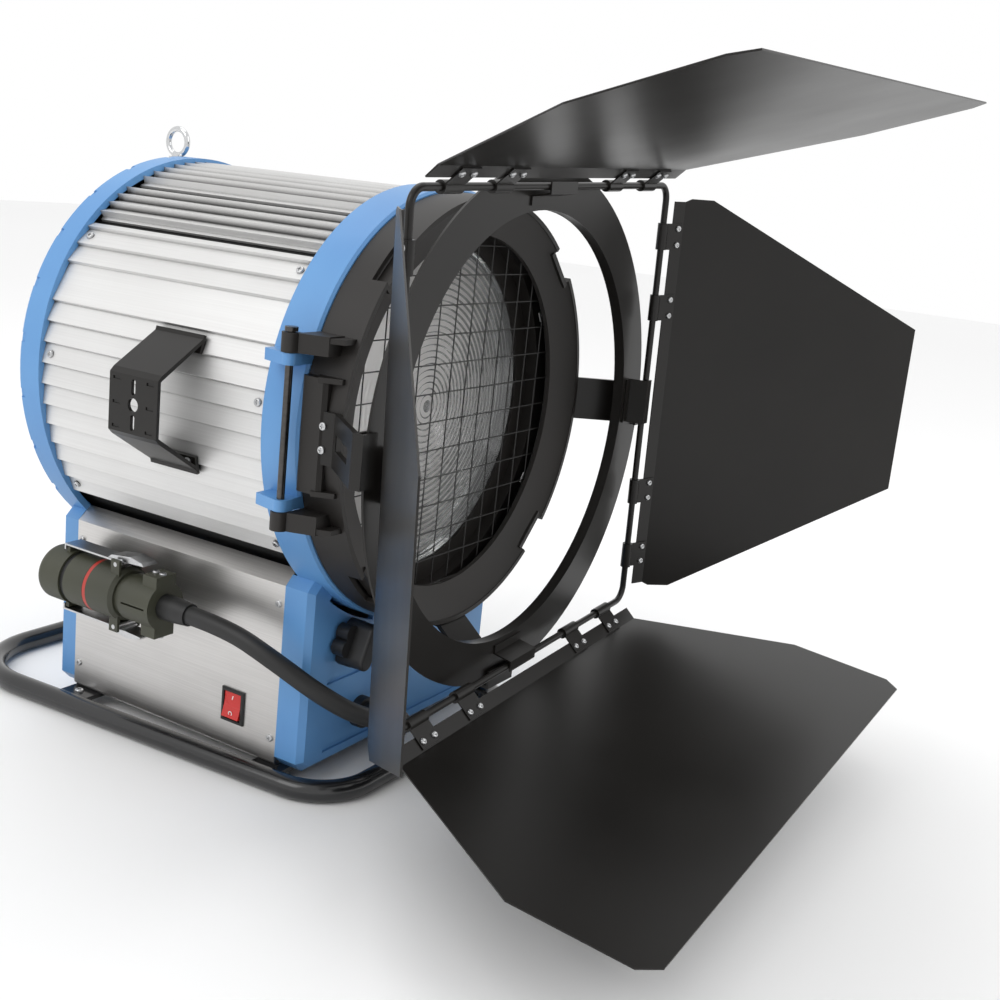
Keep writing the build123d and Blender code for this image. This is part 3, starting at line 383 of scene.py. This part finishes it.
profile += [(clear_r + 0.4 * MM, front), (LENS_R, front), (LENS_R, back)]
points, faces = turned(profile, 160, AXIS)
lens = piece("stepped_lens", points, faces, borosilicate, "lens_door", smooth=False)
lens.data.materials.append(frosted)
slopes = range(3, len(profile) - 5, 2)
for face in lens.data.polygons:
    if face.index % len(profile) in slopes:
        face.material_index = 1
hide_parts("fresnel_lens")
print("lens rings", RINGS, "pitch", round(clear_r / RINGS / MM, 1), "mm, faces", len(faces))

# %% [markdown]
# ## Screws on the barndoor
# Each leaf clip is held by two pan head screws. They catch the light against the black sheet, so
# they get real heads: a domed disc with a cross recess. One head is built flat, then copied to its
# seats through the same chain of turns that places the leaf: about its rod, round the ring, and the
# 3 degrees that the whole barndoor is turned.

# %% Build the screw heads
HEAD_R = 2.9 * MM
HEAD_H = 2.0 * MM


def screw_head():
    ring_count = 24
    levels = [(1.0, 0.0), (1.0, 0.35), (0.9, 0.75), (0.72, 0.95), (0.5, 1.0)]
    points = []
    for r, h in levels:
        for i in range(ring_count):
            turn = 2 * pi * i / ring_count
            points.append(Vector((HEAD_R * r * cos(turn), HEAD_R * r * sin(turn), HEAD_H * h)))
    for i in range(ring_count):
        turn = 2 * pi * i / ring_count
        in_cross = i % 6 in (0, 1, 5)
        height = 0.62 if in_cross else 1.0
        points.append(Vector((HEAD_R * 0.42 * cos(turn), HEAD_R * 0.42 * sin(turn), HEAD_H * height)))
    points.append(Vector((0, 0, HEAD_H * 0.45)))
    faces = []
    for level in range(len(levels)):
        for i in range(ring_count):
            j = (i + 1) % ring_count
            a, b = level * ring_count, (level + 1) * ring_count
            faces.append((a + i, a + j, b + j, b + i))
    last = len(levels) * ring_count
    for i in range(ring_count):
        faces.append((last + i, last + (i + 1) % ring_count, len(points) - 1))
    return points, faces


ROD_HALF = 202 * MM
ROD_Y = -264 * MM
BARN_Z = 299 * MM
# each leaf: turn round the ring, angle from straight ahead, fold of its flange, in degrees
leaves = {
    "leaf_top": (90, 17.7, 24),
    "leaf_bottom": (270, 5.3, 38),
    "leaf_right": (0, 40.6, 24),
    "leaf_left": (180, 50, 24),
}
SEAT_X = -1.8 * MM
SEAT_Y = -17 * MM
BARN_TURN = 3
face_in = Matrix.Rotation(-pi / 2, 4, "Y")
head_points, head_faces = screw_head()
for name, (turn, angle, fold) in leaves.items():
    whole = Matrix.Translation((0, 0, BARN_Z)) @ Matrix.Rotation(radians(-BARN_TURN - turn), 4, "Y")
    whole = whole @ Matrix.Translation((ROD_HALF, ROD_Y, 0))
    whole = whole @ Matrix.Rotation(radians(angle + fold), 4, "Z")
    points = []
    faces = []
    for along in (-156, -90, 90, 156):
        for pair in (-7.5, 7.5):
            seat = whole @ Matrix.Translation((SEAT_X, SEAT_Y, (along + pair) * MM)) @ face_in
            start = len(points)
            points += [seat @ p for p in head_points]
            faces += [tuple(start + i for i in face) for face in head_faces]
    piece(name + "_screw_heads", points, faces, zinc, name)
print("screw heads:", 8 * len(leaves))

# %% [markdown]
# ## The lead
# A short neoprene lead runs from the gland on the front of the base, round its corner, and back
# into the connector's boot. It is stiff, so it makes one easy bend. The line is a NURBS curve whose
# control points are the route the lead is laid on.

# %% Lay the lead
LEAD_R = 8 * MM
route = [(-71, -189, 40.6), (-108, -187, 55), (-143, -170, 80),
         (-166, -136, 108), (-172, -92, 124), (-172, -46, 124)]
lead_curve = bpy.data.curves.new("head_lead", "CURVE")
lead_curve.dimensions = "3D"
lead_curve.bevel_depth = LEAD_R
lead_curve.bevel_resolution = 8
lead_curve.resolution_u = 16
lead_curve.use_fill_caps = True
line = lead_curve.splines.new("NURBS")
line.points.add(len(route) - 1)
for point, (x, y, z) in zip(line.points, route):
    point.co = (x * MM, y * MM, z * MM, 1.0)
line.order_u = 3
line.use_endpoint_u = True
lead_curve.materials.append(rubber)
lead = bpy.data.objects.new("head_lead", lead_curve)
bpy.context.scene.collection.objects.link(lead)
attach(lead, "housing")
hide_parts("head_cable")
print("lead control points", len(route))

# %% [markdown]
# ## Marks on the rocker
# The two ends of the rocker carry the usual line and circle for on and off, filled in white. They
# are thin raised shapes laid on the rocker's face, and they ride on the rocker.

# %% Draw the line and circle
ROCKER_TILT = 9.6
MARK_X = -5.45 * MM
MARK_Z = 7.2 * MM
MARK_TILT = 9.2
INK = 0.3 * MM
rock = Matrix.Translation((-136 * MM, -73.5 * MM, 40 * MM))
rock = rock @ Matrix.Rotation(radians(ROCKER_TILT), 4, "Y")


def slab(corners, depth):
    """A thin slab on the plane x = 0 from (y, z) corners, standing out towards -X."""
    n = len(corners)
    points = [Vector((0, y, z)) for y, z in corners] + [Vector((-depth, y, z)) for y, z in corners]
    faces = [tuple(range(n)), tuple(reversed(range(n, 2 * n)))]
    faces += [(i, i + n, (i + 1) % n + n, (i + 1) % n) for i in range(n)]
    return points, faces


def rocker_face(side):
    """The upper face of the rocker for side 1, the lower one for side -1."""
    lean = Matrix.Rotation(radians(MARK_TILT * side), 4, "Y")
    return rock @ Matrix.Translation((MARK_X, 0, MARK_Z * side)) @ lean


wide, tall = 0.5 * MM, 2 * MM
bar, bar_faces = slab([(-wide, -tall), (wide, -tall), (wide, tall), (-wide, tall)], INK)
upper = rocker_face(1)
piece("rocker_mark_on", [upper @ p for p in bar], bar_faces, white_ink, "switch_rocker",
      False)
circle = []
for i in range(28):
    turn = 2 * pi * i / 28
    for r, x in ((2.2, 0.0), (2.2, -INK), (1.4, -INK), (1.4, 0.0)):
        circle.append(Vector((x, r * MM * cos(turn), r * MM * sin(turn))))
circle_faces = []
for i in range(28):
    j = (i + 1) % 28
    for k in range(4):
        m = (k + 1) % 4
        circle_faces.append((i * 4 + k, i * 4 + m, j * 4 + m, j * 4 + k))
lower = rocker_face(-1)
piece("rocker_mark_off", [lower @ p for p in circle], circle_faces, white_ink, "switch_rocker")
print("rocker marks placed")

# %% [markdown]
# ## Floor, light and camera
# The lamp stands on a plain pale floor in an even, white room, which gives most of the light. One
# large soft light above and to the lamp's side gives the long highlights on the panels, a second
# lights the front, and a third overhead lifts the top. The camera looks across the front left
# corner, a little down.

# %% Floor
low, high = cad_box
bpy.ops.mesh.primitive_plane_add(size=1, location=(0, 0, low.z))
floor = bpy.context.object
floor.name = "studio_floor"
floor.scale = (14, 14, 1)
paper, tree, surface = finish_named("matt white paper", Roughness=0.85)
at = {"Vector": add(tree, "ShaderNodeTexCoord").outputs["Object"]}
fibres = add(tree, "ShaderNodeTexNoise", {"Scale": 3.0, "Detail": 2.0}, at)
pulp = two_tones(tree, fibres.outputs["Fac"], "#f4f4f4", "#f7f7f7")
tree.links.new(pulp, surface.inputs["Base Color"])
floor.data.materials.append(paper)
print("floor at", round(low.z, 4))

# %% World and lamps
world = bpy.data.worlds.new("white room")
bpy.context.scene.world = world
world.use_nodes = True
world.node_tree.nodes.clear()
room = add(world.node_tree, "ShaderNodeBackground", {"Color": linear("#ffffff"), "Strength": 1.0})
add(world.node_tree, "ShaderNodeOutputWorld", {}, {"Surface": room.outputs["Background"]})


def soft_light(name, place, target, size, watts):
    data = bpy.data.lights.new(name, "AREA")
    data.shape = "RECTANGLE"
    data.size, data.size_y = size
    data.energy = watts
    made = bpy.data.objects.new(name, data)
    made.location = place
    made.rotation_euler = (Vector(target) - Vector(place)).to_track_quat("-Z", "Y").to_euler()
    bpy.context.scene.collection.objects.link(made)
    return made


soft_light("key_window", (-1.9, 0.5, 1.9), (0, 0, 0.3), (1.6, 1.2), 14)
soft_light("front_window", (0.6, -2.6, 1.8), (0, -0.1, 0.3), (1.2, 1.6), 12)
soft_light("top_window", (0.3, 0.4, 2.4), (0, 0, 0.3), (1.4, 1.4), 8)
bpy.context.scene.view_settings.view_transform = "Standard"

# %% Camera
data = bpy.data.cameras.new("view")
data.lens = 46.44
data.sensor_width = 36.0
data.clip_end = 50
camera = bpy.data.objects.new("view", data)
right = Vector((0.5199, -0.8478, 0.1051))
up = Vector((0.1535, 0.2137, 0.9648))
ahead = Vector((0.8404, 0.4855, -0.2412))
turn = Matrix((right, up, -ahead)).transposed().to_4x4()
camera.matrix_world = Matrix.Translation((-0.9247, -0.7684, 0.5022)) @ turn
bpy.context.scene.collection.objects.link(camera)
bpy.context.scene.camera = camera
print("camera", tuple(round(v, 3) for v in camera.location))
